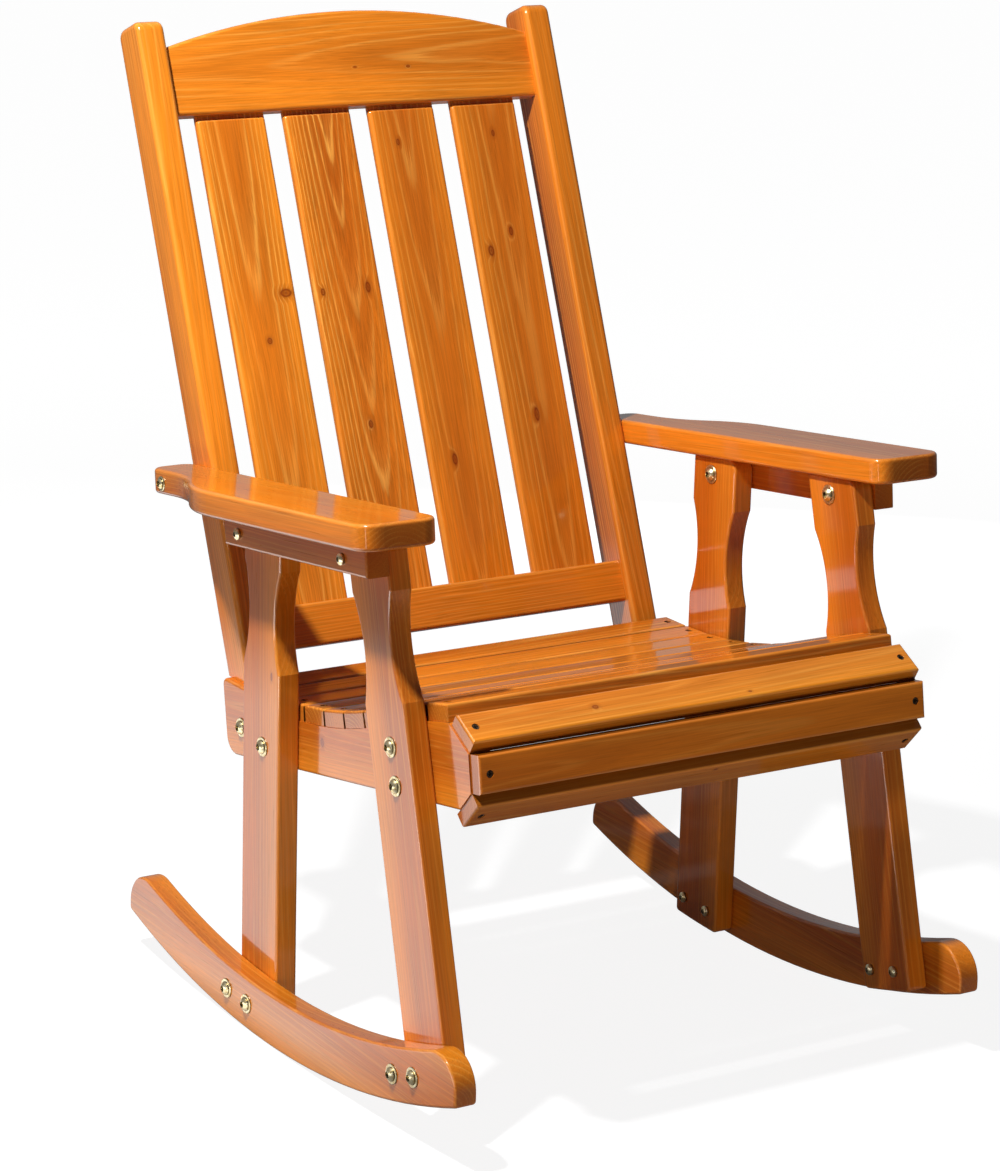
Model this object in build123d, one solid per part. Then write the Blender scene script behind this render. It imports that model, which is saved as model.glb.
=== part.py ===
from build123d import *
from math import asin, cos, radians, sin, sqrt, tan
import os

os.makedirs("parts", exist_ok=True)

# A slatted wooden rocking chair, in millimetres.
# The chair faces -Y, +Z is up and X = 0 is its plane of symmetry.
# Side views are drawn in (y, z) with y = 0 over the point where the rockers touch the floor.

# Overall sizes
HEIGHT = 1016.0
WIDTH = 705.0
DEPTH = 840.0

# Stock
BOARD = 25.0           # thickness of rockers, legs, seat rails and battens
EDGE = 3.0             # rounding along the edges of the boards
JOINT_CLEARANCE = 0.2  # play on each side of a tenon or slat in its mortise
HOLE_CLEARANCE = 0.2   # play around a bolt or screw in its hole

# Back frame
BACK_SPAN = 462.0      # clear distance between the posts
BACK_LEAN = radians(21.87)
BACK_FOOT = 1.7        # where the front plane of the posts meets the floor
POST_WIDTH = 33.0
POST_DEPTH = 49.0
POST_TOP_ROUND = 11.0
POST_EDGE = 6.0
POST_START = 310.0     # lower end, measured up the front plane
POST_TONGUE = 15.5     # part of the post's width left beside the seat rail
RAIL_RECESS = 9.0      # crest and lower rail behind the front plane of the posts
BACK_RAIL_THICK = 22.0
RAIL_EDGE = 4.0
CREST_DROP = 29.35     # ends of the crest rail's upper edge below the tops of the posts
CREST_WIDTH = 76.0     # across the crest rail at its ends
CREST_ARCH = 33.0      # rise of its upper edge in the middle
LOWER_BOTTOM = 403.0   # heights up the front plane
LOWER_TOP = 450.0
TENON_LENGTH = 14.0
TENON_THICK = 12.0
TENON_SHOULDER = 9.0   # step above and below a tenon
BACK_SLATS = 4
BACK_SLAT_WIDTH = 84.5
BACK_SLAT_GAP = 23.5
BACK_SLAT_THICK = 11.0
BACK_SLAT_RECESS = 14.0
BACK_SLAT_EDGE = 4.5
BACK_SLAT_HOUSED = 12.0
BACK_SLAT_SHOULDER = 5.5  # front of a slat stops this far below the crest rail
BACK_SLAT_STEP = 4.0   # depth of that shoulder, leaving a tongue behind it
BACK_SLAT_BREAK = 2.5  # rounding along the shoulder

# Rockers
ROCKER_RADIUS = 1087.0
ROCKER_WIDTH = 57.0
ROCKER_REAR = 311.0
ROCKER_NOSE_ROUND = 35.0
ROCKER_TAIL_ROUND = 38.0
ROCKER_TOE_ROUND = 5.0
ROCKER_BOLTS = (79.6, 35.5, -267.8, -307.2)

# Legs, both cut from one pattern that hangs from the arm
LEG_WIDTH = 78.0
LEG_FOOT_INSET = 7.0   # foot above the running edge of the rocker
LEG_TOP_ROUND = 13.0
LEG_FOOT_ROUND = 5.0
SCALLOP_DROP = 55.0
SCALLOP_LENGTH = 110.0
SCALLOP_DEPTH = 11.0
REAR_LEG_Y = 56.0
REAR_LEG_TILT = 0.0
FRONT_LEG_Y = -199.0   # middle of the front leg at the height below
FRONT_LEG_Z = 411.0
FRONT_LEG_TILT = radians(15.2)
LEG_BOLTS = ((51.0, 306.0), (-211.0, 381.0), (-222.0, 344.0))

# Seat
SLAT_LENGTH = 540.0
SLAT_WIDTH = 38.5
SLAT_THICK = 18.0
SLAT_PITCH = 42.6
SEAT_SLATS = 10
FRONT_SLAT_THICK = 16.0
SEAT_REAR = 134.0      # rear edge of the last seat slat
SEAT_LEVEL = 335.5     # slat bed at the rear
DISH_START = 95.0
DISH_RADIUS = 668.0
DISH_SLOPE = radians(22.14)
ROLL_RADIUS = 660.0
RAIL_SLOPE = radians(9.5)
RAIL_BOTTOM = 284.7    # distance of the rail's lower edge from the origin, square to the rail
RAIL_NOSE = 376.5      # front of the rail, measured along it
NOSE_CHAMFER = radians(38.5)
NOSE_FACE = 38.5
NOSE_RISE = 19.3       # height of the lower chamfer, square to the rail
NOSE_GAP = 0.2         # front slats stand this far from the corners of the nose
RAIL_TAIL_TOP = 342.0
RAIL_STOP = 136.5      # step behind the rear slat
RAIL_SETBACK = 2.5     # end of the rail ahead of the post's rear face
RAIL_HEEL_ROUND = 20.0
RAIL_TAIL_ROUND = 8.0
POST_BOLT = (144.0, 297.0)

# Arms
ARM_SLOPE = radians(6.62)
ARM_LEVEL = 590.1      # top of the arm over y = 0
ARM_THICK = 27.0
ARM_FRONT = -246.0     # measured along the arm, like the other arm lengths
ARM_REAR = 282.0
ARM_TAIL_WIDTH = 49.0
ARM_CURVE_START = 75.0
ARM_CURVE_END = 232.0
ARM_OUTER_ROUND = 24.0
ARM_INNER_ROUND = 19.0
ARM_TAIL_ROUND = 16.0
ARM_EDGE = 4.0
ARM_BOLT = (251.0, 546.0)
BATTEN_HEIGHT = 34.0
BATTEN_FRONT = -198.0
BATTEN_REAR = 94.0
BATTEN_BOLTS = (61.0, -153.0)
BATTEN_BOLT_DROP = 20.0

# Bolts, sleeve nuts and screws
BOLT_SHANK = 6.0
BOLT_HEAD = 21.0       # across the flange
BOLT_BUTTON = 14.6     # across the domed button on the flange
BOLT_FLANGE = 1.4
FLANGE_BREAK = 0.5     # bevel round the flange
BUTTON_WALL = 1.0
BOLT_DOME = 5.0
BOLT_SOCKET = 7.4
SOCKET_DEPTH = 3.0
ARM_BOLT_HEAD = 16.0
NUT_WIDTH = 12.0
NUT_HEIGHT = 5.0
NUT_GRIP = 3.0         # length of shank inside a sleeve nut
NUT_SOCKET = 5.6
NUT_SOCKET_DEPTH = 1.4
BLIND_END = 7.0        # wood left beyond the end of an arm bolt
SCREW_HEAD = 7.6
SCREW_SHANK = 4.0
SCREW_LENGTH = 36.0
SCREW_SINK = 0.8       # screw head below the face of the slat
CROSS_LENGTH = 4.6     # cross recess in a screw head
CROSS_WIDTH = 1.0
CROSS_DEPTH = 1.2
SCREW_X = 258.0

# Planes across the width, from the middle outwards
POST_INNER = BACK_SPAN / 2
POST_OUTER = POST_INNER + POST_WIDTH
RAIL_INNER = POST_INNER + POST_TONGUE
LEG_INNER = RAIL_INNER + BOARD
ROCKER_INNER = LEG_INNER + BOARD
ROCKER_OUTER = ROCKER_INNER + BOARD
ARM_INNER = POST_OUTER
ARM_OUTER = WIDTH / 2
ARM_TAIL_OUTER = ARM_INNER + ARM_TAIL_WIDTH

# Lean of the back resolved into the side view
UP_Y = sin(BACK_LEAN)
UP_Z = cos(BACK_LEAN)
POST_TOP = (HEIGHT + POST_TOP_ROUND * (UP_Y + UP_Z - 1)) / UP_Z
CREST_END = POST_TOP - CREST_DROP
CREST_BOTTOM = CREST_END - CREST_WIDTH
CREST_TOP = CREST_END + CREST_ARCH
CHAIR_REAR = (
    BACK_FOOT + (POST_TOP - POST_TOP_ROUND) * UP_Y + (POST_DEPTH - POST_TOP_ROUND) * UP_Z + POST_TOP_ROUND
)
ROCKER_FRONT = CHAIR_REAR - DEPTH
TO_CENTRE = DEPTH / 2 - CHAIR_REAR

BACK_PLANE = Plane(origin=(0, BACK_FOOT, 0), x_dir=(1, 0, 0), z_dir=(0, -UP_Z, UP_Y))
ARM_PLANE = Plane(origin=(0, 0, ARM_LEVEL), x_dir=(1, 0, 0), z_dir=(0, sin(ARM_SLOPE), cos(ARM_SLOPE)))


def back_point(up, behind):
    """Side-view point at a height up the front plane of the back and a depth behind it."""
    return (BACK_FOOT + up * UP_Y + behind * UP_Z, up * UP_Z - behind * UP_Y)


def rail_point(along, above):
    """Side-view point in the seat rail's own directions: forwards along it and square above."""
    return (
        -along * cos(RAIL_SLOPE) + above * sin(RAIL_SLOPE),
        along * sin(RAIL_SLOPE) + above * cos(RAIL_SLOPE),
    )


def arm_under(y):
    """Height of the arm's underside at y."""
    return ARM_LEVEL - y * tan(ARM_SLOPE) - ARM_THICK / cos(ARM_SLOPE)


def runner(inset, y):
    """Height at y of the rocker's arc moved up by inset."""
    return ROCKER_RADIUS - sqrt((ROCKER_RADIUS - inset) ** 2 - y ** 2)


ROLL_CENTRE = (
    DISH_START - (DISH_RADIUS + ROLL_RADIUS) * sin(DISH_SLOPE),
    SEAT_LEVEL + DISH_RADIUS - (DISH_RADIUS + ROLL_RADIUS) * cos(DISH_SLOPE),
)


def bed(length):
    """Point on the slat bed at a length from its rear: level, then dished, then rolled over at the front."""
    level = SEAT_REAR - DISH_START
    if length <= level:
        return (SEAT_REAR - length, SEAT_LEVEL)
    turn = (length - level) / DISH_RADIUS
    if turn <= DISH_SLOPE:
        return (DISH_START - DISH_RADIUS * sin(turn), SEAT_LEVEL + DISH_RADIUS * (1 - cos(turn)))
    slope = DISH_SLOPE - (turn - DISH_SLOPE) * DISH_RADIUS / ROLL_RADIUS
    return (ROLL_CENTRE[0] + ROLL_RADIUS * sin(slope), ROLL_CENTRE[1] + ROLL_RADIUS * cos(slope))


def nearest(shape, y, z):
    """The vertex of a flat outline closest to a side-view point."""
    return min(shape.vertices(), key=lambda v: (v.X - y) ** 2 + (v.Y - z) ** 2)


def round_corner(face, point, radius):
    """Round one corner of a flat outline."""
    return fillet(nearest(face, *point), radius)


def board(face, inner, thickness):
    """A side-view outline made into a board that reaches outwards from x = inner."""
    return extrude(Plane.YZ.offset(inner) * face, amount=thickness, dir=(1, 0, 0))


def flat_edges(solid, axis):
    """The edges of a board's two broad faces."""
    return [e for e in solid.edges() if getattr(e.bounding_box().size, axis) < 1e-3]


def rod(y, z, start, end, diameter):
    """A round bar or bore across the chair."""
    turned = Pos(start, y, z) * Rot(0, 90, 0)
    return turned * Cylinder(diameter / 2, end - start, align=(Align.CENTER, Align.CENTER, Align.MIN))


def bolt_hole(y, z, start, end):
    return rod(y, z, start, end, BOLT_SHANK + 2 * HOLE_CLEARANCE)


def crown(half, base, top):
    """The profile of a spherical cap from its rim to its middle."""
    radius = (half ** 2 + (top - base) ** 2) / (2 * (top - base))
    shoulder = top - radius + sqrt(radius ** 2 - half ** 2 / 4)
    return ThreePointArc((half, base), (half / 2, shoulder), (0, top))


def bolt(y, z, face, inwards, grip, width=BOLT_HEAD):
    """A domed flange bolt with a hexagon socket; its head lies on the plane x = face."""
    half = width / 2
    button = half * BOLT_BUTTON / BOLT_HEAD
    wall = BOLT_FLANGE + BUTTON_WALL
    top = BOLT_FLANGE + BOLT_DOME * width / BOLT_HEAD
    outline = Polyline(
        (0, 0),
        (half, 0),
        (half, BOLT_FLANGE - FLANGE_BREAK),
        (half - FLANGE_BREAK, BOLT_FLANGE),
        (button, BOLT_FLANGE),
        (button, wall),
    )
    outline += crown(button, wall, top)
    outline += Line((0, top), (0, 0))
    head = revolve(make_face(Plane.XZ * outline), Axis.Z)
    head -= Pos(0, 0, top - SOCKET_DEPTH) * extrude(RegularPolygon(BOLT_SOCKET / 2, 6), amount=BOLT_DOME)
    shank = Cylinder(BOLT_SHANK / 2, grip, align=(Align.CENTER, Align.CENTER, Align.MAX))
    return Pos(face, y, z) * Rot(0, 90 * inwards, 0) * (head + shank)


def sleeve_nut(y, z, face, inwards):
    """A round sleeve nut with a hexagon socket over the end of a bolt; it lies on the plane x = face."""
    half = NUT_WIDTH / 2
    thread = BOLT_SHANK / 2 + HOLE_CLEARANCE
    outline = Polyline((0, NUT_GRIP), (thread, NUT_GRIP), (thread, 0), (half, 0), (half, 0.5 * NUT_HEIGHT))
    outline += crown(half, 0.5 * NUT_HEIGHT, NUT_HEIGHT)
    outline += Line((0, NUT_HEIGHT), (0, NUT_GRIP))
    nut = revolve(make_face(Plane.XZ * outline), Axis.Z)
    nut -= Pos(0, 0, NUT_HEIGHT - NUT_SOCKET_DEPTH) * extrude(RegularPolygon(NUT_SOCKET / 2, 6), amount=NUT_HEIGHT)
    return Pos(face, y, z) * Rot(0, 90 * inwards, 0) * nut


def screw(play=0.0, extra=0.0):
    """A countersunk screw pointing down from the face of a slat, or its hole when play is given."""
    half_head = SCREW_HEAD / 2 + play
    half_shank = SCREW_SHANK / 2 + play
    cone = half_head - half_shank
    head = Pos(0, 0, -cone) * Cone(half_shank, half_head, cone, align=(Align.CENTER, Align.CENTER, Align.MIN))
    shank = Pos(0, 0, -SCREW_LENGTH) * Cylinder(
        half_shank, SCREW_LENGTH - cone, align=(Align.CENTER, Align.CENTER, Align.MIN)
    )
    body = head + shank
    if extra:
        return body + Cylinder(half_head, extra, align=(Align.CENTER, Align.CENTER, Align.MIN))
    for turn in (0, 90):
        body -= Rot(0, 0, turn) * Box(
            CROSS_LENGTH, CROSS_WIDTH, CROSS_DEPTH, align=(Align.CENTER, Align.CENTER, Align.MAX)
        )
    return body


def slat_stock(thickness):
    """A seat slat lying on z = 0 with its upper edges rounded and its two screw holes sunk."""
    slat = Box(SLAT_LENGTH, SLAT_WIDTH, thickness, align=(Align.CENTER, Align.CENTER, Align.MIN))
    slat = fillet(slat.edges().group_by(Axis.Z)[-1], EDGE)
    for x in (-SCREW_X, SCREW_X):
        slat -= Pos(x, 0, thickness - SCREW_SINK) * screw(HOLE_CLEARANCE, 2 * SCREW_SINK)
    return slat


def slat_screws(thickness):
    return [Pos(x, 0, thickness - SCREW_SINK) * screw() for x in (-SCREW_X, SCREW_X)]


def pair(shape):
    """The left and right copies of a piece drawn on the +X side."""
    return shape, mirror(shape, about=Plane.YZ)


def both_sides(shapes):
    """A group of loose pieces and their mirror images."""
    return [copy for shape in shapes for copy in pair(shape)]


# Where each seat slat lies: across its stretch of the bed, resting on the bed's highest points
slat_planes = []
for index in range(SEAT_SLATS):
    rear = bed(index * SLAT_PITCH)
    middle = bed(index * SLAT_PITCH + SLAT_WIDTH / 2)
    front = bed(index * SLAT_PITCH + SLAT_WIDTH)
    chord = sqrt((rear[0] - front[0]) ** 2 + (rear[1] - front[1]) ** 2)
    up = ((front[1] - rear[1]) / chord, (rear[0] - front[0]) / chord)
    centre = ((rear[0] + front[0]) / 2, (rear[1] + front[1]) / 2)
    rise = max(0.0, (middle[0] - centre[0]) * up[0] + (middle[1] - centre[1]) * up[1])
    origin = (0, centre[0] + rise * up[0], centre[1] + rise * up[1])
    slat_planes.append(Plane(origin=origin, x_dir=(1, 0, 0), z_dir=(0, up[0], up[1])))

# Where the three front slats lie on the faceted nose of the rails
nose_low = rail_point(RAIL_NOSE - NOSE_RISE / tan(NOSE_CHAMFER), RAIL_BOTTOM)
nose_lower = (RAIL_NOSE, RAIL_BOTTOM + NOSE_RISE)
nose_upper = (RAIL_NOSE, RAIL_BOTTOM + NOSE_RISE + NOSE_FACE)
chamfer = (cos(NOSE_CHAMFER), sin(NOSE_CHAMFER))
reach = NOSE_GAP + SLAT_WIDTH / 2
front_planes = {}
for name, corner, run, out, shift in (
    ("upper", nose_upper, (-chamfer[0], chamfer[1]), (chamfer[1], chamfer[0]), reach),
    ("middle", nose_lower, (0, 1), (1, 0), NOSE_FACE / 2),
    ("lower", nose_lower, (-chamfer[0], -chamfer[1]), (chamfer[1], -chamfer[0]), reach),
):
    spot = rail_point(corner[0] + shift * run[0], corner[1] + shift * run[1])
    front_planes[name] = Plane(origin=(0, *spot), x_dir=(1, 0, 0), z_dir=(0, *rail_point(*out)))

# Rockers


def rocker_arc(inset):
    """The rocker's arc moved up by inset, from front to rear."""
    return ThreePointArc(
        (ROCKER_FRONT, runner(inset, ROCKER_FRONT)), (0, inset), (ROCKER_REAR, runner(inset, ROCKER_REAR))
    )


running_edge = rocker_arc(0)
upper_edge = rocker_arc(ROCKER_WIDTH)
ends = [Line(running_edge @ 0, upper_edge @ 0), Line(running_edge @ 1, upper_edge @ 1)]
rocker_face = make_face([running_edge, upper_edge] + ends)
for point, radius in (
    (upper_edge @ 0, ROCKER_NOSE_ROUND),
    (upper_edge @ 1, ROCKER_TAIL_ROUND),
    (running_edge @ 0, ROCKER_TOE_ROUND),
    (running_edge @ 1, ROCKER_TOE_ROUND),
):
    rocker_face = round_corner(rocker_face, (point.X, point.Y), radius)
rocker = board(rocker_face, ROCKER_INNER, BOARD)
rocker = fillet(flat_edges(rocker, "X"), EDGE)
rocker_bolt_points = [(y, runner(ROCKER_WIDTH / 2, y)) for y in ROCKER_BOLTS]
for y, z in rocker_bolt_points:
    rocker -= bolt_hole(y, z, ROCKER_INNER, ROCKER_OUTER)


# Legs
def leg(y, z, tilt):
    """A scalloped leg whose middle line passes through (y, z), from the arm down to the rocker's curve."""
    slope = tan(tilt)
    top_y = (y + slope * (ARM_LEVEL - ARM_THICK / cos(ARM_SLOPE) - z)) / (1 + slope * tan(ARM_SLOPE))
    top_z = arm_under(top_y)

    def at(across, down):
        return (
            top_y + across * cos(tilt) - down * sin(tilt),
            top_z - across * sin(tilt) - down * cos(tilt),
        )

    half = LEG_WIDTH / 2
    first = SCALLOP_DROP
    last = SCALLOP_DROP + SCALLOP_LENGTH
    waist = half - SCALLOP_DEPTH
    long_end = top_z + LEG_WIDTH
    edges = [Line(at(-half, -LEG_WIDTH), at(half, -LEG_WIDTH)), Line(at(-half, long_end), at(half, long_end))]
    for side in (-1, 1):
        edges.append(Line(at(side * half, -LEG_WIDTH), at(side * half, first)))
        edges.append(
            ThreePointArc(at(side * half, first), at(side * waist, (first + last) / 2), at(side * half, last))
        )
        edges.append(Line(at(side * half, last), at(side * half, long_end)))
    face = make_face(edges)
    under = make_face(
        Polyline(
            (top_y - HEIGHT, arm_under(top_y - HEIGHT)),
            (top_y + HEIGHT, arm_under(top_y + HEIGHT)),
            (top_y + HEIGHT, -HEIGHT),
            (top_y - HEIGHT, -HEIGHT),
            close=True,
        )
    )
    face = face & under & (Pos(0, ROCKER_RADIUS) * Circle(ROCKER_RADIUS - LEG_FOOT_INSET))
    face = face.faces()[0]
    corners = sorted(face.vertices(), key=lambda v: v.Y)
    feet = [(v.X, v.Y) for v in corners[:2]]
    front_top = min(corners[-2:], key=lambda v: v.X)
    face = round_corner(face, (front_top.X, front_top.Y), LEG_TOP_ROUND)
    for foot in feet:
        face = round_corner(face, foot, LEG_FOOT_ROUND)
    return fillet(flat_edges(board(face, LEG_INNER, BOARD), "X"), EDGE)


rear_leg = leg(REAR_LEG_Y, 0.0, REAR_LEG_TILT)
front_leg = leg(FRONT_LEG_Y, FRONT_LEG_Z, FRONT_LEG_TILT)
batten_bolt_points = [(y, arm_under(y) - BATTEN_BOLT_DROP) for y in BATTEN_BOLTS]
leg_holes = [
    bolt_hole(y, z, LEG_INNER, ROCKER_INNER)
    for y, z in rocker_bolt_points + batten_bolt_points + list(LEG_BOLTS)
]
rear_leg -= [hole for hole in leg_holes if hole.center().Y > 0]
front_leg -= [hole for hole in leg_holes if hole.center().Y < 0]

# Seat rails
rail_end_y = BACK_FOOT + RAIL_TAIL_TOP * tan(BACK_LEAN) + POST_DEPTH / UP_Z - RAIL_SETBACK
tail_along = -rail_end_y * cos(RAIL_SLOPE) + RAIL_TAIL_TOP * sin(RAIL_SLOPE)
heel = rail_point(tail_along, RAIL_BOTTOM)
dish_end = bed(SEAT_REAR - DISH_START + DISH_RADIUS * DISH_SLOPE)
dish_middle = bed(SEAT_REAR - DISH_START + DISH_RADIUS * DISH_SLOPE / 2)
upper_start = rail_point(*nose_upper)
climb = rail_point(-cos(NOSE_CHAMFER), sin(NOSE_CHAMFER))
offset_y = upper_start[0] - ROLL_CENTRE[0]
offset_z = upper_start[1] - ROLL_CENTRE[1]
half_b = climb[0] * offset_y + climb[1] * offset_z
rest = offset_y ** 2 + offset_z ** 2 - ROLL_RADIUS ** 2
chamfer_run = -half_b - sqrt(half_b ** 2 - rest)
if chamfer_run < 0:
    chamfer_run = -half_b + sqrt(half_b ** 2 - rest)
bed_front = (upper_start[0] + chamfer_run * climb[0], upper_start[1] + chamfer_run * climb[1])
front_slope = asin((bed_front[0] - ROLL_CENTRE[0]) / ROLL_RADIUS)
middle_slope = (front_slope + DISH_SLOPE) / 2
roll_middle = (
    ROLL_CENTRE[0] + ROLL_RADIUS * sin(middle_slope),
    ROLL_CENTRE[1] + ROLL_RADIUS * cos(middle_slope),
)
rail_face = make_face(
    [
        Polyline(
            bed_front,
            upper_start,
            rail_point(*nose_lower),
            nose_low,
            heel,
            (rail_end_y, RAIL_TAIL_TOP),
            (RAIL_STOP, RAIL_TAIL_TOP),
            (RAIL_STOP, SEAT_LEVEL),
            (DISH_START, SEAT_LEVEL),
        ),
        ThreePointArc((DISH_START, SEAT_LEVEL), dish_middle, dish_end),
        ThreePointArc(dish_end, roll_middle, bed_front),
    ]
)
rail_face = round_corner(rail_face, heel, RAIL_HEEL_ROUND)
rail_face = round_corner(rail_face, (rail_end_y, RAIL_TAIL_TOP), RAIL_TAIL_ROUND)
rail = board(rail_face, RAIL_INNER, BOARD)


def on_open_edge(edge):
    """True along the rail's lower edge and rear end, which stay free of slats and posts."""
    middle = edge @ 0.5
    above = middle.Y * sin(RAIL_SLOPE) + middle.Z * cos(RAIL_SLOPE)
    return above < RAIL_BOTTOM + EDGE or (middle.Y > RAIL_STOP and middle.Z < RAIL_TAIL_TOP - EDGE / 2)


rail = fillet([e for e in flat_edges(rail, "X") if on_open_edge(e)], EDGE)
for y, z in list(LEG_BOLTS) + [POST_BOLT]:
    rail -= bolt_hole(y, z, RAIL_INNER, LEG_INNER)
for planes, thickness in ((slat_planes, SLAT_THICK), (front_planes.values(), FRONT_SLAT_THICK)):
    for plane in planes:
        rail -= plane * Pos(SCREW_X, 0, thickness - SCREW_SINK) * screw(HOLE_CLEARANCE)

# Posts
post_face = make_face(
    Polyline(
        back_point(POST_START, 0),
        back_point(POST_TOP, 0),
        back_point(POST_TOP, POST_DEPTH),
        back_point(POST_START, POST_DEPTH),
        close=True,
    )
)
for behind in (0, POST_DEPTH):
    post_face = round_corner(post_face, back_point(POST_TOP, behind), POST_TOP_ROUND)
    post_face = round_corner(post_face, back_point(POST_START, behind), EDGE)
post = fillet(flat_edges(board(post_face, POST_INNER, POST_WIDTH), "X"), POST_EDGE)
# the lap: the outer part of the width stops on the seat rail and a tongue passes down inside it
post -= Pos(RAIL_INNER, 0, 0) * Box(
    POST_WIDTH, DEPTH, RAIL_TAIL_TOP, align=(Align.MIN, Align.CENTER, Align.MIN)
)
post -= bolt_hole(*POST_BOLT, POST_INNER, RAIL_INNER)
arm_bolt_end = POST_INNER + BLIND_END
post -= bolt_hole(*ARM_BOLT, arm_bolt_end - HOLE_CLEARANCE, POST_OUTER)
tenon_middle = RAIL_RECESS + BACK_RAIL_THICK / 2
tenon_spans = {
    "crest": (CREST_BOTTOM + TENON_SHOULDER, CREST_END - TENON_SHOULDER),
    "lower": (LOWER_BOTTOM + TENON_SHOULDER, LOWER_TOP - TENON_SHOULDER),
}


def tenon(span, play=0.0):
    """A tenon into the +X post, or its mortise when play is given."""
    size = (TENON_LENGTH + play, span[1] - span[0] + 2 * play, TENON_THICK + 2 * play)
    block = Box(*size, align=(Align.MIN, Align.CENTER, Align.CENTER))
    return BACK_PLANE * Pos(POST_INNER, (span[0] + span[1]) / 2, -tenon_middle) * block


for span in tenon_spans.values():
    post -= tenon(span, JOINT_CLEARANCE)

# Back slats and the rails that house their ends
slat_x = [
    (index - (BACK_SLATS - 1) / 2) * (BACK_SLAT_WIDTH + BACK_SLAT_GAP) for index in range(BACK_SLATS)
]
slat_low = LOWER_TOP - BACK_SLAT_HOUSED
slat_high = CREST_BOTTOM + BACK_SLAT_HOUSED
slat_middle = BACK_SLAT_RECESS + BACK_SLAT_THICK / 2


def back_slat(x, play=0.0):
    """A back slat, or the block that cuts its two mortises when play is given."""
    size = (BACK_SLAT_WIDTH + 2 * play, slat_high - slat_low + 2 * play, BACK_SLAT_THICK + 2 * play)
    slat = Box(*size)
    slat = fillet(slat.edges().filter_by(Axis.Y), BACK_SLAT_EDGE)
    shoulder = CREST_BOTTOM - BACK_SLAT_SHOULDER - (slat_low + slat_high) / 2
    front = BACK_SLAT_THICK / 2
    slat -= Pos(0, shoulder, front - BACK_SLAT_STEP + play) * Box(
        2 * BACK_SLAT_WIDTH, slat_high, BACK_SLAT_THICK, align=(Align.CENTER, Align.MIN, Align.MIN)
    )
    if not play:
        rim = slat.edges().filter_by(Axis.X).group_by(Axis.Z)[-1].sort_by(Axis.Y)[-1]
        slat = fillet(rim, BACK_SLAT_BREAK)
    return BACK_PLANE * Pos(x, (slat_low + slat_high) / 2, -slat_middle) * slat


def back_rail(outline, span):
    """A rail between the posts from its front outline, with tenons and slat mortises."""
    front = BACK_PLANE * Pos(0, 0, -RAIL_RECESS) * make_face(outline)
    solid = extrude(front, amount=BACK_RAIL_THICK, dir=(0, UP_Z, -UP_Y))
    long_edges = [e for e in solid.edges() if e.bounding_box().size.X > POST_INNER]
    solid = fillet(long_edges, RAIL_EDGE)
    solid += list(pair(tenon(span)))
    for x in slat_x:
        solid -= back_slat(x, JOINT_CLEARANCE)
    return solid


crest_outline = Polyline(
    (-POST_INNER, CREST_END), (-POST_INNER, CREST_BOTTOM), (POST_INNER, CREST_BOTTOM), (POST_INNER, CREST_END)
)
crest_outline += ThreePointArc((POST_INNER, CREST_END), (0, CREST_TOP), (-POST_INNER, CREST_END))
crest_rail = back_rail(crest_outline, tenon_spans["crest"])
lower_outline = Polyline(
    (-POST_INNER, LOWER_TOP),
    (-POST_INNER, LOWER_BOTTOM),
    (POST_INNER, LOWER_BOTTOM),
    (POST_INNER, LOWER_TOP),
    close=True,
)
lower_back_rail = back_rail(lower_outline, tenon_spans["lower"])

# Armrests
curve_middle = ((ARM_OUTER + ARM_TAIL_OUTER) / 2, (ARM_CURVE_START + ARM_CURVE_END) / 2)
swell = TangentArc((ARM_OUTER, ARM_CURVE_START), curve_middle, tangent=(0, 1))
hollow = TangentArc((ARM_TAIL_OUTER, ARM_CURVE_END), curve_middle, tangent=(0, -1))
arm_face = make_face(
    [
        Polyline(
            (ARM_TAIL_OUTER, ARM_CURVE_END),
            (ARM_TAIL_OUTER, ARM_REAR),
            (ARM_INNER, ARM_REAR),
            (ARM_INNER, ARM_FRONT),
            (ARM_OUTER, ARM_FRONT),
            (ARM_OUTER, ARM_CURVE_START),
        ),
        swell,
        hollow,
    ]
)
for corner, radius in (
    ((ARM_TAIL_OUTER, ARM_REAR), ARM_TAIL_ROUND),
    ((ARM_INNER, ARM_REAR), ARM_TAIL_ROUND),
    ((ARM_INNER, ARM_FRONT), ARM_INNER_ROUND),
    ((ARM_OUTER, ARM_FRONT), ARM_OUTER_ROUND),
):
    arm_face = round_corner(arm_face, corner, radius)
arm = extrude(arm_face, amount=-ARM_THICK, dir=(0, 0, 1))
arm = ARM_PLANE * fillet(flat_edges(arm, "Z"), ARM_EDGE)
arm -= bolt_hole(*ARM_BOLT, ARM_INNER, ARM_TAIL_OUTER)

# Battens under the arms
batten_face = make_face(
    Polyline(
        (BATTEN_FRONT, arm_under(BATTEN_FRONT)),
        (BATTEN_REAR, arm_under(BATTEN_REAR)),
        (
            BATTEN_REAR - BATTEN_HEIGHT * sin(ARM_SLOPE),
            arm_under(BATTEN_REAR) - BATTEN_HEIGHT * cos(ARM_SLOPE),
        ),
        (
            BATTEN_FRONT - BATTEN_HEIGHT * sin(ARM_SLOPE),
            arm_under(BATTEN_FRONT) - BATTEN_HEIGHT * cos(ARM_SLOPE),
        ),
        close=True,
    )
)
batten = board(batten_face, ROCKER_INNER, BOARD)
batten = fillet([e for e in flat_edges(batten, "X") if (e @ 0.5).X > ROCKER_OUTER - EDGE], EDGE)
for y, z in batten_bolt_points:
    batten -= bolt_hole(y, z, ROCKER_INNER, ROCKER_OUTER)

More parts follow.
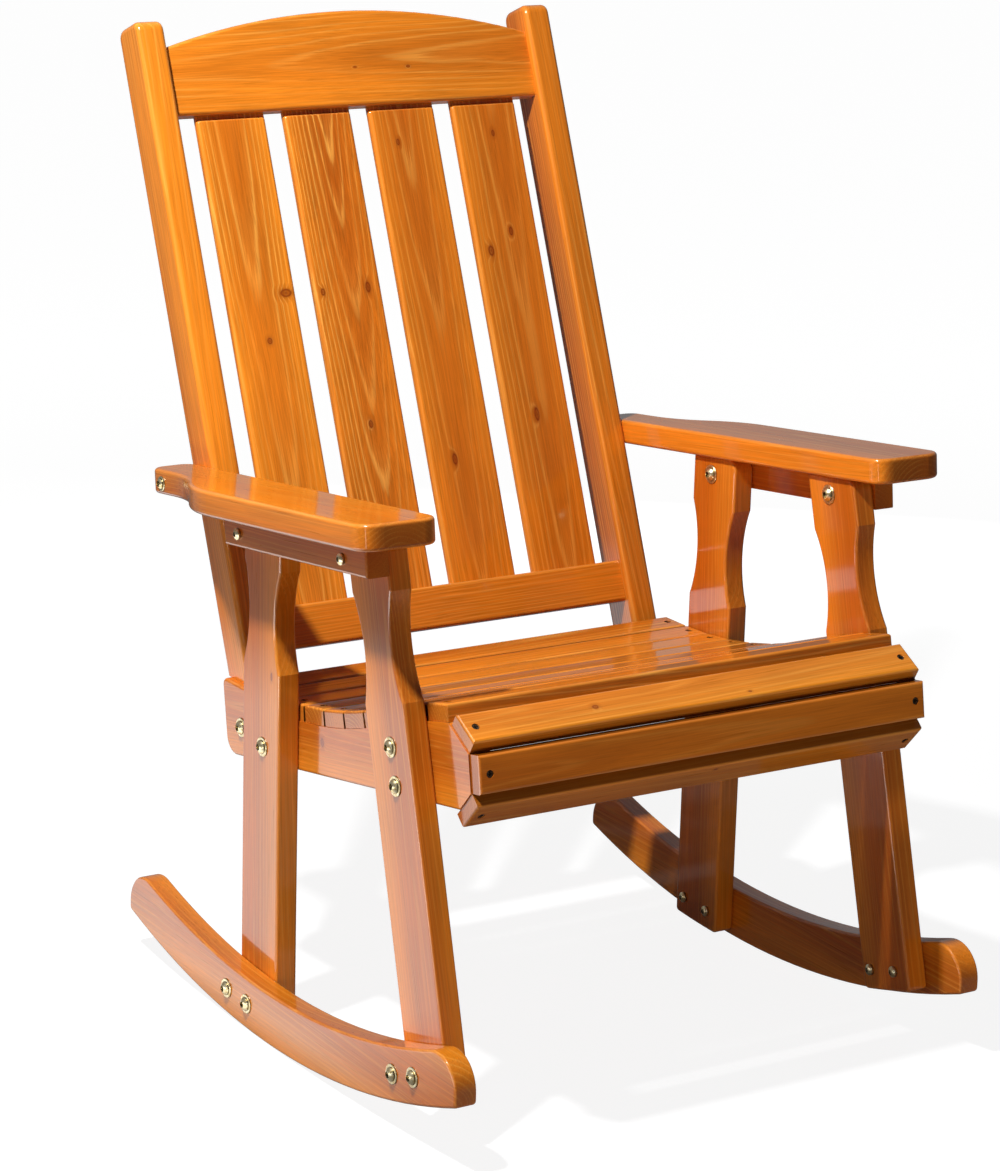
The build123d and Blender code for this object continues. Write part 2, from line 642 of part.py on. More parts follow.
# Every piece by name; the sitter's left is +X
nodes = {}
for name, shape in (
    ("rocker", rocker),
    ("front_leg", front_leg),
    ("rear_leg", rear_leg),
    ("seat_rail", rail),
    ("arm_batten", batten),
    ("armrest", arm),
    ("back_post", post),
):
    nodes[name + "_left"], nodes[name + "_right"] = pair(shape)
nodes["crest_rail"] = crest_rail
nodes["lower_back_rail"] = lower_back_rail
for index, x in enumerate(slat_x):
    nodes[f"back_slat_{index + 1}"] = back_slat(x)

seat_screws = []
for index, plane in enumerate(slat_planes):
    nodes[f"seat_slat_{index + 1:02d}"] = plane * slat_stock(SLAT_THICK)
    seat_screws += [plane * s for s in slat_screws(SLAT_THICK)]
front_screws = []
for name, plane in front_planes.items():
    nodes[f"front_slat_{name}"] = plane * slat_stock(FRONT_SLAT_THICK)
    front_screws += [plane * s for s in slat_screws(FRONT_SLAT_THICK)]

two_boards = 2 * BOARD + NUT_GRIP
groups = {
    "rocker_bolts": [bolt(y, z, ROCKER_OUTER, 1, two_boards) for y, z in rocker_bolt_points],
    "rocker_nuts": [sleeve_nut(y, z, LEG_INNER, -1) for y, z in rocker_bolt_points],
    "leg_bolts": [bolt(y, z, ROCKER_INNER, 1, two_boards) for y, z in LEG_BOLTS],
    "leg_nuts": [sleeve_nut(y, z, RAIL_INNER, -1) for y, z in LEG_BOLTS],
    "batten_bolts": [bolt(y, z, LEG_INNER, -1, two_boards) for y, z in batten_bolt_points],
    "batten_nuts": [sleeve_nut(y, z, ROCKER_OUTER, 1) for y, z in batten_bolt_points],
    "post_bolts": [bolt(*POST_BOLT, LEG_INNER, 1, BOARD + POST_TONGUE + NUT_GRIP)],
    "post_nuts": [sleeve_nut(*POST_BOLT, POST_INNER, -1)],
    "arm_bolts": [bolt(*ARM_BOLT, ARM_TAIL_OUTER, 1, ARM_TAIL_OUTER - arm_bolt_end, ARM_BOLT_HEAD)],
}
for name, shapes in groups.items():
    nodes[name] = Compound(both_sides(shapes))
nodes["seat_screws"] = Compound(seat_screws)
nodes["front_screws"] = Compound(front_screws)

for name, shape in nodes.items():
    export_step(Pos(0, TO_CENTRE, 0) * shape, f"parts/{name}.step")
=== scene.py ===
# A slatted wooden rocking chair in varnished pine, dressed over its CAD frame
from math import cos, radians, sin

import bpy
from mathutils import Euler, Matrix, Vector


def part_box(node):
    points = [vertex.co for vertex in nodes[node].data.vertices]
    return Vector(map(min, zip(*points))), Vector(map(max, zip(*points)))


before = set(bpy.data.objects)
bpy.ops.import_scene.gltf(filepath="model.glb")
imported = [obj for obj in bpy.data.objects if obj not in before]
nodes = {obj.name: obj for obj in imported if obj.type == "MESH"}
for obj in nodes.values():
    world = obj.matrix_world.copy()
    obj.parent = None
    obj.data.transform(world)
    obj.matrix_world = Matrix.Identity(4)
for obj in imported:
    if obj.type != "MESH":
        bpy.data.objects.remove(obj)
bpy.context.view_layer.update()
scene = bpy.context.scene
scene.view_settings.view_transform = "Standard"

MM = 0.001

# Slopes of the chair's boards
BACK_LEAN = radians(21.87)
LEG_SLANT = radians(15.2)
RAIL_SLOPE = radians(9.5)
ARM_SLOPE = radians(6.62)

# Directions the boards run in and face
ACROSS = Vector((1, 0, 0))
UP = Vector((0, 0, 1))
UP_BACK = Vector((0, sin(BACK_LEAN), cos(BACK_LEAN)))
BACK_FACE = Vector((0, -cos(BACK_LEAN), sin(BACK_LEAN)))
UP_LEG = Vector((0, sin(LEG_SLANT), cos(LEG_SLANT)))
ALONG_RAIL = Vector((0, cos(RAIL_SLOPE), -sin(RAIL_SLOPE)))
ALONG_ARM = Vector((0, cos(ARM_SLOPE), -sin(ARM_SLOPE)))
ARM_FACE = Vector((0, sin(ARM_SLOPE), cos(ARM_SLOPE)))
ALONG_ROCKER = Vector((0, 1, 0))

# The back's front plane: where it meets the floor, and how far behind it the crest and the slats are, in mm
BACK_FOOT = Vector((0, -0.0313, 0))
CREST_SET_BACK = 9
SLAT_SET_BACK = 14

# Pine: sizes of its grain in mm
BEND_LENGTH, BEND_WIDTH, BEND_SWAY = 240, 45, 7    # slow bends of the stem
FIBRE_LENGTH, FIBRE_WIDTH = 110, 1.6               # a fraction of a mm wide in life, drawn so that they show
BRUSH_LENGTH, BRUSH_WIDTH = 120, 14                # marks that the varnish brush leaves
HEARTWOOD_FADE = 26                                # depth over which the darker old wood ends
KNOT_DEPTH = 30                                    # how far a knot reaches into the board
VARNISH_RELIEF = 0.8                               # height of fibres and brush marks, drawn high to show
GOOD_YEARS = 0.055                                 # changes of weather for each mm of growth

# Pine: colours of stained wood under varnish
STAINED_WOOD = "#DB7A1A"
LATE_LINE = "#F6A848"
OLD_WOOD = "#B2520B"
END_GRAIN = "#8A4514"
RUBBED_EDGE = "#F5B060"
# painted shade for the long sides of slats that face into narrow gaps
PAINTED_GAP_SHADE = "#2E1204"
KNOT_HEART = "#7C2A02"

# Pine: strength of a late line through one year, and of a knot's rings from its heart out
LATE_LINE_STOPS = ((0.0, 0.1), (0.3, 0.0), (0.7, 0.22), (0.84, 1.0), (0.93, 0.75), (1.0, 0.1))
KNOT_STOPS = ((0.0, 0.9), (0.18, 0.66), (0.33, 1.0), (0.42, 0.5), (0.55, 0.24), (1.0, 0.0))
KNOT_STAIN_REACH = 2.6                             # in half widths of the knot


def linear(code):
    """Linear RGBA of an sRGB hex colour."""
    parts = [int(code[i:i + 2], 16) / 255 for i in (1, 3, 5)]
    return tuple(c / 12.92 if c <= 0.04045 else ((c + 0.055) / 1.055) ** 2.4 for c in parts) + (1.0,)


def toned(code, stain_and_light_tone):
    """A hex colour made lighter or darker, and redder as it darkens: board to board stain, and on some
    boards painted light and shade.
    """
    return tuple(c * stain_and_light_tone ** depth for c, depth in zip(linear(code), (1.0, 1.6, 1.8))) + (1.0,)


def add(tree, kind, sockets, **settings):
    """Adds a node, applies its settings, then fills or links its input sockets.

    stops are a ramp's places with a grey level or a colour each, and spans the two ends that a range is read
    from and the two that it is turned to.
    """
    node = tree.nodes.new("ShaderNode" + kind)
    for name, value in settings.items():
        if name == "stops":
            elements = node.color_ramp.elements
            while len(elements) < len(value):
                elements.new(0.5)
            for element, (place, colour) in zip(elements, value):
                element.position = place
                element.color = colour if isinstance(colour, tuple) else (colour,) * 4
        elif name == "spans":
            for socket, end in zip(node.inputs[1:5], value):
                socket.default_value = end
        else:
            setattr(node, name, value)
    for name, value in sockets.items():
        if isinstance(value, bpy.types.NodeSocket):
            tree.links.new(value, node.inputs[name])
        else:
            node.inputs[name].default_value = value
    return node.outputs


def new_material(name):
    material = bpy.data.materials.new(name)
    material.use_nodes = True
    material.node_tree.nodes.clear()
    return material, material.node_tree


def dress(piece, material):
    piece.data.materials.clear()
    piece.data.materials.append(material)


def board_turn(along, face):
    """Rotation whose x runs along a board, y across it and z out of its face."""
    return Matrix((along, face.cross(along), face)).transposed()


def knotted(tree, place, turn, ring, depth, knots):
    """Rings swell round each knot: returns the swollen ring depth and the knots' own dark rings, if any."""
    hearts = None
    for spot, length, width in knots:
        around = add(tree, "Mapping", {
            "Vector": place, "Location": spot, "Rotation": turn.to_euler(),
            "Scale": (length * MM / 2, width * MM / 2, KNOT_DEPTH * MM)}, vector_type="TEXTURE")[0]
        reach = add(tree, "VectorMath", {0: around}, operation="LENGTH")["Value"]
        swell = add(tree, "MapRange", {"Value": reach}, spans=(0.3, 3.2, 0.9 * ring, 0.0),
                    interpolation_type="SMOOTHSTEP")[0]
        depth = add(tree, "Math", {0: depth, 1: swell}, operation="ADD")[0]
        stain = add(tree, "Math", {0: reach, 1: KNOT_STAIN_REACH}, operation="DIVIDE")[0]
        heart = add(tree, "ValToRGB", {"Fac": stain}, stops=KNOT_STOPS)[0]
        if hearts is None:
            hearts = heart
        else:
            hearts = add(tree, "Math", {0: hearts, 1: heart}, operation="MAXIMUM")[0]
    return depth, hearts


def late_lines(tree, depth, fibre, ring):
    """One late line a year; good and poor years space the rings unevenly and the fibres fray them."""
    years = add(tree, "Math", {0: depth, 1: GOOD_YEARS}, operation="MULTIPLY")[0]
    growth = add(tree, "TexNoise", {"W": years, "Scale": 1.0, "Detail": 1.0}, noise_dimensions="1D")[0]
    turns = add(tree, "Math", {0: depth, 1: ring}, operation="DIVIDE")[0]
    turns = add(tree, "Math", {0: growth, 1: 3.0, 2: turns}, operation="MULTIPLY_ADD")[0]
    turns = add(tree, "Math", {0: fibre, 1: 0.3, 2: turns}, operation="MULTIPLY_ADD")[0]
    season = add(tree, "Math", {0: turns}, operation="FRACT")[0]
    return add(tree, "ValToRGB", {"Fac": season}, stops=LATE_LINE_STOPS)[0]


def weathered_and_gap_shaded(tree, wood, normal, along, face, fibre, stain_and_light_tone, gap_shade):
    """End grain drinks more stain, rounded edges are rubbed a little paler, and sides in gaps are painted
    shade.
    """
    end_on = add(tree, "VectorMath", {0: normal, 1: along}, operation="DOT_PRODUCT")["Value"]
    end_on = add(tree, "Math", {0: end_on}, operation="ABSOLUTE")[0]
    end = add(tree, "MapRange", {"Value": end_on}, spans=(0.8, 0.97, 0.0, 0.45))[0]
    wood = add(tree, "Mix", {"Factor": end, "A": wood, "B": toned(END_GRAIN, stain_and_light_tone)},
               data_type="RGBA")["Result"]

    face_on = add(tree, "VectorMath", {0: normal, 1: face}, operation="DOT_PRODUCT")["Value"]
    face_on = add(tree, "Math", {0: face_on, 1: 2.0}, operation="POWER")[0]
    square = add(tree, "MapRange", {"Value": face_on}, spans=(0.0, 1.0, -1.0, 1.0))[0]
    square = add(tree, "Math", {0: square}, operation="ABSOLUTE")[0]
    worn = add(tree, "MapRange", {"Value": square}, spans=(0.3, 0.9, 0.25, 0.0))[0]
    worn = add(tree, "Math", {0: worn, 1: fibre}, operation="MULTIPLY")[0]
    wood = add(tree, "Mix", {"Factor": worn, "A": wood, "B": toned(RUBBED_EDGE, stain_and_light_tone)},
               data_type="RGBA")["Result"]

    # painted shade: long sides that face into the narrow gaps between slats are darkened
    if gap_shade:
        long_side = add(tree, "MapRange", {"Value": end_on}, spans=(0.3, 0.7, gap_shade, 0.0))[0]
        gap_shade_mask = add(tree, "MapRange", {"Value": face_on}, spans=(0.05, 0.35, 1.0, 0.0))[0]
        gap_shade_mask = add(tree, "Math", {0: gap_shade_mask, 1: long_side}, operation="MULTIPLY")[0]
        wood = add(tree, "Mix", {"Factor": gap_shade_mask, "A": wood, "B": linear(PAINTED_GAP_SHADE)},
                   data_type="RGBA")["Result"]
    return wood


def gloss_varnish(tree, wood, stem, fibre):
    """Clear varnish brushed over the wood, sunk a little between the fibres: a hard coat on a soft sheen."""
    brushed = add(tree, "Mapping", {
        "Vector": stem, "Scale": (1 / BRUSH_LENGTH, 1 / BRUSH_WIDTH, 1 / BRUSH_WIDTH)})[0]
    ripple = add(tree, "TexNoise", {"Vector": brushed, "Scale": 1.0, "Detail": 1.0})[0]
    height = add(tree, "Math", {0: fibre, 1: 0.12, 2: ripple}, operation="MULTIPLY_ADD")[0]
    bump = add(tree, "Bump", {"Strength": 0.35, "Distance": VARNISH_RELIEF * MM, "Height": height})[0]
    rough = add(tree, "MapRange", {"Value": fibre}, spans=(0.3, 0.7, 0.26, 0.38))[0]
    shader = add(tree, "BsdfPrincipled", {
        "Base Color": wood, "Roughness": rough, "IOR": 1.5, "Specular IOR Level": 0.12, "Normal": bump,
        "Coat Weight": 1.0, "Coat Roughness": 0.08, "Coat IOR": 1.58})[0]
    add(tree, "OutputMaterial", {"Surface": shader})


def varnished_pine(node, along, face, pith, tilt, ring, figure, stain_and_light_tone=1.0, knots=(), seed=0.0, gap_shade=0.0):
    """Planed pine under clear gloss varnish: the eye sees ring lines, drawn-out fibres, knots and a sheen.

    pith is the ring centre's offset across the board and behind its middle in mm, tilt turns the ring axis
    out of the face and sideways in degrees, ring is the ring width in mm, figure is how plainly the rings
    show, each knot is a place in metres with its length and width in mm, seed picks another part of the
    stem, the board's tone makes its stain lighter or darker, partly as painted light and shade, and the
    last argument is how dark the long sides that face into narrow gaps are painted as shade.
    """
    material, tree = new_material("varnished_pine_" + node)
    where = add(tree, "TexCoord", {})
    turn = board_turn(along, face)

    # the stem that the board was sawn from, in mm, and its slow bends
    low, high = (Vector(corner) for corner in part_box(node))
    middle = (low + high) / 2 + turn @ Vector((0, pith[0], -pith[1])) * MM
    lean = Euler((0, radians(tilt[0]), radians(tilt[1]))).to_matrix()
    stem = add(tree, "Mapping", {
        "Vector": where["Object"], "Location": middle, "Rotation": (turn @ lean).to_euler(),
        "Scale": (MM, MM, MM)}, vector_type="TEXTURE")[0]
    slow = add(tree, "Mapping", {
        "Vector": stem, "Location": (seed, 3.1 * seed, 0),
        "Scale": (1 / BEND_LENGTH, 1 / BEND_WIDTH, 1 / BEND_WIDTH)})[0]
    bend = add(tree, "TexNoise", {"Vector": slow, "Scale": 1.0, "Detail": 2.0, "Roughness": 0.45})
    bent = add(tree, "VectorMath", {0: bend["Color"], 1: (0, BEND_SWAY, BEND_SWAY), 2: stem},
               operation="MULTIPLY_ADD")[0]
    radius = add(tree, "VectorMath", {0: bent, 1: (0, 1, 1)}, operation="MULTIPLY")[0]
    depth = add(tree, "VectorMath", {0: radius}, operation="LENGTH")["Value"]
    old_wood = add(tree, "MapRange", {"Value": depth},
                   spans=(pith[1], pith[1] + HEARTWOOD_FADE, 0.8, 0.0))[0]

    # fibres, and late lines that fade in and out along the board
    depth, hearts = knotted(tree, where["Object"], turn, ring, depth, knots)
    strands = add(tree, "Mapping", {
        "Vector": bent, "Location": (seed, seed, seed),
        "Scale": (1 / FIBRE_LENGTH, 1 / FIBRE_WIDTH, 1 / FIBRE_WIDTH)})[0]
    fibre = add(tree, "TexNoise", {"Vector": strands, "Scale": 1.0, "Detail": 3.0, "Roughness": 0.62})[0]
    fade = add(tree, "MapRange", {"Value": bend["Fac"]}, spans=(0.38, 0.62, 0.3 * figure, 1.25 * figure))[0]
    line = add(tree, "Math", {0: late_lines(tree, depth, fibre, ring), 1: fade}, operation="MULTIPLY")[0]

    # colour: body, old wood and late lines, then clouds and streaks over them
    body, late, old = (toned(code, stain_and_light_tone) for code in (STAINED_WOOD, LATE_LINE, OLD_WOOD))
    wood = add(tree, "Mix", {"Factor": old_wood, "A": body, "B": old}, data_type="RGBA")["Result"]
    wood = add(tree, "Mix", {"Factor": line, "A": wood, "B": late}, data_type="RGBA")["Result"]
    cloud = add(tree, "MapRange", {"Value": bend["Fac"]}, spans=(0.3, 0.7, 1.13, 0.87))[0]
    contrast = 0.1 + 0.2 * figure
    streak = add(tree, "MapRange", {"Value": fibre}, spans=(0.28, 0.72, 1.0 - contrast, 1.0 + contrast))[0]
    shade = add(tree, "Math", {0: cloud, 1: streak}, operation="MULTIPLY")[0]
    wood = add(tree, "Mix", {"Factor": 1.0, "A": wood, "B": shade}, data_type="RGBA",
               blend_type="MULTIPLY")["Result"]
    wood = weathered_and_gap_shaded(tree, wood, where["Normal"], along, face, fibre, stain_and_light_tone, gap_shade)
    if hearts is not None:
        dark = add(tree, "Math", {0: hearts, 1: 0.95}, operation="MULTIPLY")[0]
        wood = add(tree, "Mix", {"Factor": dark, "A": wood, "B": toned(KNOT_HEART, stain_and_light_tone)},
                   data_type="RGBA")["Result"]
    gloss_varnish(tree, wood, stem, fibre)
    dress(nodes[node], material)


def back_knot(set_back, x, up, length, width):
    """A knot of the back, from its distance across and its height up the slope in mm."""
    place = BACK_FOOT + ACROSS * (x * MM) + UP_BACK * (up * MM) - BACK_FACE * (set_back * MM)
    return place, length, width


# Back: crest, lower rail, posts and four slats
varnished_pine(
    "crest_rail", ACROSS, BACK_FACE, pith=(2, 26), tilt=(-1.7, 0.3), ring=4.6, figure=0.4, stain_and_light_tone=1.05,
    seed=2.0, knots=(back_knot(CREST_SET_BACK, 68.7, 1034.5, 5, 3),
                     back_knot(CREST_SET_BACK, 0.4, 1036.6, 4, 2)))
varnished_pine(
    "lower_back_rail", ACROSS, BACK_FACE, pith=(60, 20), tilt=(0.8, 0.5), ring=3.6, figure=0.4, seed=7.3)
# the post on the lamp's side is toned lighter and the other darker, partly as painted light and shade
varnished_pine(
    "back_post_left", UP_BACK, BACK_FACE, pith=(30, 40), tilt=(0.6, 0.7), ring=4.0, figure=0.5, stain_and_light_tone=0.96,
    seed=11.0)
varnished_pine(
    "back_post_right", UP_BACK, BACK_FACE, pith=(-28, 46), tilt=(0.5, -0.6), ring=4.2, figure=0.5, stain_and_light_tone=1.09,
    seed=5.0)
# the first slat is toned lighter, partly as a painted sheen
varnished_pine(
    "back_slat_1", UP_BACK, BACK_FACE, pith=(6, 26), tilt=(-1.5, 0.4), ring=4.2, figure=0.5, stain_and_light_tone=1.15,
    seed=1.7,
    knots=(back_knot(SLAT_SET_BACK, -132.2, 790.4, 9, 14), back_knot(SLAT_SET_BACK, -161.9, 739.3, 7, 6)))
varnished_pine(
    "back_slat_2", UP_BACK, BACK_FACE, pith=(-2, 24), tilt=(-2.6, -0.4), ring=3.9, figure=0.8, stain_and_light_tone=0.99,
    seed=4.1,
    knots=(back_knot(SLAT_SET_BACK, -55.1, 636.6, 9, 5), back_knot(SLAT_SET_BACK, -86.3, 787.8, 8, 5),
           back_knot(SLAT_SET_BACK, -28.9, 789, 12, 6)))
varnished_pine(
    "back_slat_3", UP_BACK, BACK_FACE, pith=(4, 24), tilt=(-1.4, 0.3), ring=4.2, figure=0.42, stain_and_light_tone=1.02,
    seed=6.2,
    knots=(back_knot(SLAT_SET_BACK, 41.6, 949.7, 7, 4), back_knot(SLAT_SET_BACK, 43.3, 587.1, 13, 6)))
varnished_pine(
    "back_slat_4", UP_BACK, BACK_FACE, pith=(-4, 26), tilt=(-1.2, -0.4), ring=4.4, figure=0.42, seed=9.4,
    knots=(back_knot(SLAT_SET_BACK, 167.7, 952.9, 7, 4), back_knot(SLAT_SET_BACK, 168.6, 838.6, 10, 5),
           back_knot(SLAT_SET_BACK, 138, 818, 12, 7), back_knot(SLAT_SET_BACK, 160.1, 627.1, 16, 6)))

# Arms and their battens
varnished_pine(
    "armrest_right", ALONG_ARM, ARM_FACE, pith=(10, 40), tilt=(0.8, 0.6), ring=4.6, figure=0.3, stain_and_light_tone=1.06,
    seed=3.3)
varnished_pine(
    "armrest_left", ALONG_ARM, ARM_FACE, pith=(-12, 34), tilt=(0.9, -0.5), ring=4.4, figure=0.4, seed=8.8)
varnished_pine(
    "arm_batten_right", ALONG_ARM, ACROSS, pith=(30, 20), tilt=(0.5, 0.4), ring=4.0, figure=0.25, stain_and_light_tone=0.92,
    seed=2.6)
varnished_pine(
    "arm_batten_left", ALONG_ARM, ACROSS, pith=(-30, 24), tilt=(0.6, 0.4), ring=4.0, figure=0.25, stain_and_light_tone=0.95,
    seed=6.6)

# Legs, seat rails and rockers, with a knot each in the right rear leg and the right seat rail
LEG_KNOT = (Vector((-0.2965, 0, 0.3868)), 8, 3.5)
RAIL_KNOT = (Vector((-0.2715, -0.0643, 0.3305)), 6, 9)
# pieces on the lamp's side are toned lighter and those on the far side darker, partly as painted light and
# shade; the rockers are toned lighter again, partly as a painted sheen
for side, shift, stain_and_light_tone, leg_knots, rail_knots in (
        ("right", 0.0, 1.06, (LEG_KNOT,), (RAIL_KNOT,)), ("left", 5.3, 0.98, (), ())):
    varnished_pine(
        "front_leg_" + side, UP_LEG, ACROSS, pith=(26, 20), tilt=(0.9, 0.5), ring=4.6, figure=0.25,
        stain_and_light_tone=stain_and_light_tone, seed=1.1 + shift)
    varnished_pine(
        "rear_leg_" + side, UP, ACROSS, pith=(-20, 26), tilt=(1.1, -0.4), ring=4.4, figure=0.25, stain_and_light_tone=stain_and_light_tone,
        knots=leg_knots, seed=3.9 + shift)
    varnished_pine(
        "seat_rail_" + side, ALONG_RAIL, ACROSS, pith=(16, 18), tilt=(1.0, 0.4), ring=4.8, figure=0.3,
        stain_and_light_tone=stain_and_light_tone, knots=rail_knots, seed=7.7 + shift)
    varnished_pine(
        "rocker_" + side, ALONG_ROCKER, ACROSS, pith=(18, 24), tilt=(1.2, 0.3), ring=5.0, figure=0.25,
        stain_and_light_tone=1.1 * stain_and_light_tone, seed=0.6 + shift)

# Seat slats, each from another part of the stem; all but the last have their sides painted dark as shade in
# the narrow gaps
SEAT_SLATS = 10
for index in range(SEAT_SLATS):
    varnished_pine(
        "seat_slat_%02d" % (index + 1), ACROSS, UP,
        pith=(14 + 9 * (index * 7 % 5), 16 + 5 * (index * 3 % 4)),
        tilt=(0.5 + 0.2 * (index * 5 % 4), 0.3), ring=3.4 + 0.25 * (index * 3 % 5), figure=0.6,
        stain_and_light_tone=1.02 + 0.03 * (index * 5 % 4), seed=1.9 * index, gap_shade=0.9 if index < SEAT_SLATS - 1 else 0.0)

# Front slats round the nose of the seat, with the lean of their faces in degrees
FRONT_SLATS = (
    # the upper slat faces the lamp and is toned lighter, partly as painted light
    ("upper", 48, 1.27, (
        (Vector((-0.1202, -0.3425, 0.4271)), 7, 4.5), (Vector((0.059, -0.3505, 0.4183)), 4, 2))),
    ("middle", 80.5, 1.0, ()),
    ("lower", 132, 1.05, ((Vector((0.0122, -0.3608, 0.3454)), 4, 2.5),)),
)
# the front slats' long sides are painted dark as shade in the gaps between them
for index, (name, lean, stain_and_light_tone, knots) in enumerate(FRONT_SLATS):
    varnished_pine(
        "front_slat_" + name, ACROSS, Vector((0, -sin(radians(lean)), cos(radians(lean)))),
        pith=(12 - 10 * index, 18), tilt=(1.1, 0.4), ring=4.6, figure=0.22, stain_and_light_tone=stain_and_light_tone, knots=knots,
        seed=2.3 + 4 * index, gap_shade=0.5)

# Plated steel: sizes in mm
MOTTLE_SIZE = 3        # spots of thin plating, drawn coarse enough to show
MOTTLE_RELIEF = 0.1
SHADE_REACH = 4         # how far the painted shade spreads out of a corner
# colour of the shade painted into sockets and round rims
SOCKET_SHADE = "#1E140C"


def plated_steel(name, bright, thin, roughness):
    """Plated steel with a hard clear shine: a little mottled, dull where the plating is thin, and painted
    dark as shade in sockets and round rims.
    """
    material, tree = new_material(name)
    where = add(tree, "TexCoord", {})
    grains = add(tree, "Mapping", {"Vector": where["Object"], "Scale": (1 / (MOTTLE_SIZE * MM),) * 3})[0]
    mottle = add(tree, "TexNoise", {"Vector": grains, "Scale": 1.0, "Detail": 3.0, "Roughness": 0.6})[0]
    tint = add(tree, "ValToRGB", {"Fac": mottle}, stops=((0.32, linear(thin)), (0.62, linear(bright))))[0]
    rough = add(tree, "MapRange", {"Value": mottle}, spans=(0.3, 0.7, roughness + 0.14, roughness))[0]
    bump = add(tree, "Bump", {"Strength": 0.2, "Distance": MOTTLE_RELIEF * MM, "Height": mottle})[0]
    # painted shade: sockets and the rims round them are darkened by how closed in each point is
    open_face = add(tree, "AmbientOcclusion", {"Distance": SHADE_REACH * MM}, samples=8)["AO"]
    unshaded = add(tree, "MapRange", {"Value": open_face}, spans=(0.35, 0.85, 0.0, 1.0))[0]
    tint = add(tree, "Mix", {"Factor": unshaded, "A": linear(SOCKET_SHADE), "B": tint},
               data_type="RGBA")["Result"]
    shader = add(tree, "BsdfPrincipled", {
        "Base Color": tint, "Metallic": 1.0, "Roughness": rough, "Normal": bump})[0]
    add(tree, "OutputMaterial", {"Surface": shader})
    return material


bolt_metal = plated_steel("yellow_plated_steel", "#F1E7C4", "#C4AA6E", 0.26)
screw_metal = plated_steel("darkened_steel", "#8C7660", "#4C3C2E", 0.4)
for node in nodes:
    if node.endswith(("_bolts", "_nuts")):
        dress(nodes[node], bolt_metal)
    elif node.endswith("_screws"):
        dress(nodes[node], screw_metal)

# Studio: the eye sees a white floor and surround, the varnish mirrors a sheet beside the right rocker that
# glows for mirrored rays only, as a painted reflection
SHEET_EDGE = (-0.32, -0.36)      # from dim to white across the sheet's near edge, along x
SHEET_FRONT = (-0.3, -0.04)      # the same along y
SHEET_END = (1.72, 1.3)          # and away from the chair
SHEET_END_SHARE = 0.08           # what is left of the white past that end
SHEET_WHITE = 1.45               # how brightly the sheet glows for mirrored rays only, brighter than white, as a painted reflection
ROOM_MIRRORED = (0.045, 0.24)    # what gloss sees of the room in front and behind
ROOM_TURN = (-0.2, 0.6)          # headings between which front turns to behind
ROOM_LIGHT = 0.015               # even light from the room
FLOOR_SEEN = (0.89, 0.98)        # what the eye sees of the floor, near and far
FLOOR_FADE = (0.6, 3.6)          # distances from near to far
FLOOR_GREY = "#787878"           # how far the floor takes shadows and throws light back
FLOOR_SIZE = 40
WHITE = (1, 1, 1, 1)


def ray_kinds(tree):
    """Rays from the eye, and rays that gloss or clear pieces send on."""
    path = add(tree, "LightPath", {})
    sent_on = add(tree, "Math", {0: path["Is Glossy Ray"], 1: path["Is Transmission Ray"]},
                  operation="MAXIMUM")[0]
    return path["Is Camera Ray"], sent_on


def matt_white_floor():
    """Matt white board: it takes soft shadows, and shows the varnish a sheet with soft edges that glows for
    mirrored rays only, as a painted reflection.
    """
    material, tree = new_material("matt_white_floor")
    place = add(tree, "TexCoord", {})["Object"]
    seen, mirrored = ray_kinds(tree)
    far = add(tree, "VectorMath", {0: place}, operation="LENGTH")["Value"]
    axes = add(tree, "SeparateXYZ", {"Vector": place})
    sheet = add(tree, "MapRange", {"Value": axes["X"]}, spans=(*SHEET_EDGE, 0.0, 1.0))[0]
    front = add(tree, "MapRange", {"Value": axes["Y"]}, spans=(*SHEET_FRONT, 0.0, 1.0))[0]
    end = add(tree, "MapRange", {"Value": far}, spans=(*SHEET_END, SHEET_END_SHARE, 1.0))[0]
    sheet = add(tree, "Math", {0: sheet, 1: front}, operation="MULTIPLY")[0]
    sheet = add(tree, "Math", {0: sheet, 1: end}, operation="MULTIPLY")[0]
    sheet = add(tree, "MapRange", {"Value": sheet}, spans=(0.0, 1.0, ROOM_MIRRORED[0], SHEET_WHITE))[0]
    sheet = add(tree, "Math", {0: sheet, 1: mirrored}, operation="MULTIPLY")[0]
    fill = add(tree, "MapRange", {"Value": far}, spans=(*FLOOR_FADE, *FLOOR_SEEN),
               interpolation_type="SMOOTHSTEP")[0]
    glow = add(tree, "Math", {0: seen, 1: fill, 2: sheet}, operation="MULTIPLY_ADD")[0]
    shadow = add(tree, "BsdfDiffuse", {"Color": linear(FLOOR_GREY)})[0]
    white = add(tree, "Emission", {"Color": WHITE, "Strength": glow})[0]
    both = add(tree, "AddShader", {0: shadow, 1: white})[0]
    add(tree, "OutputMaterial", {"Surface": both})
    return material


bpy.ops.object.select_all(action="DESELECT")
bpy.ops.mesh.primitive_plane_add(size=FLOOR_SIZE)
floor = bpy.context.object
floor.name = "studio_floor"
dress(floor, matt_white_floor())

world = bpy.data.worlds.new("studio_surround")
scene.world = world
world.use_nodes = True
tree = world.node_tree
tree.nodes.clear()
seen, mirrored = ray_kinds(tree)
heading = add(tree, "SeparateXYZ", {"Vector": add(tree, "TexCoord", {})["Generated"]})["Y"]
room = add(tree, "MapRange", {"Value": heading}, spans=(*ROOM_TURN, *ROOM_MIRRORED))[0]
level = add(tree, "Math", {0: mirrored, 1: room, 2: ROOM_LIGHT}, operation="MULTIPLY_ADD")[0]
level = add(tree, "Math", {0: seen, 1: level}, operation="ADD")[0]
surround = add(tree, "Background", {"Color": WHITE, "Strength": level})[0]
add(tree, "OutputWorld", {"Surface": surround})


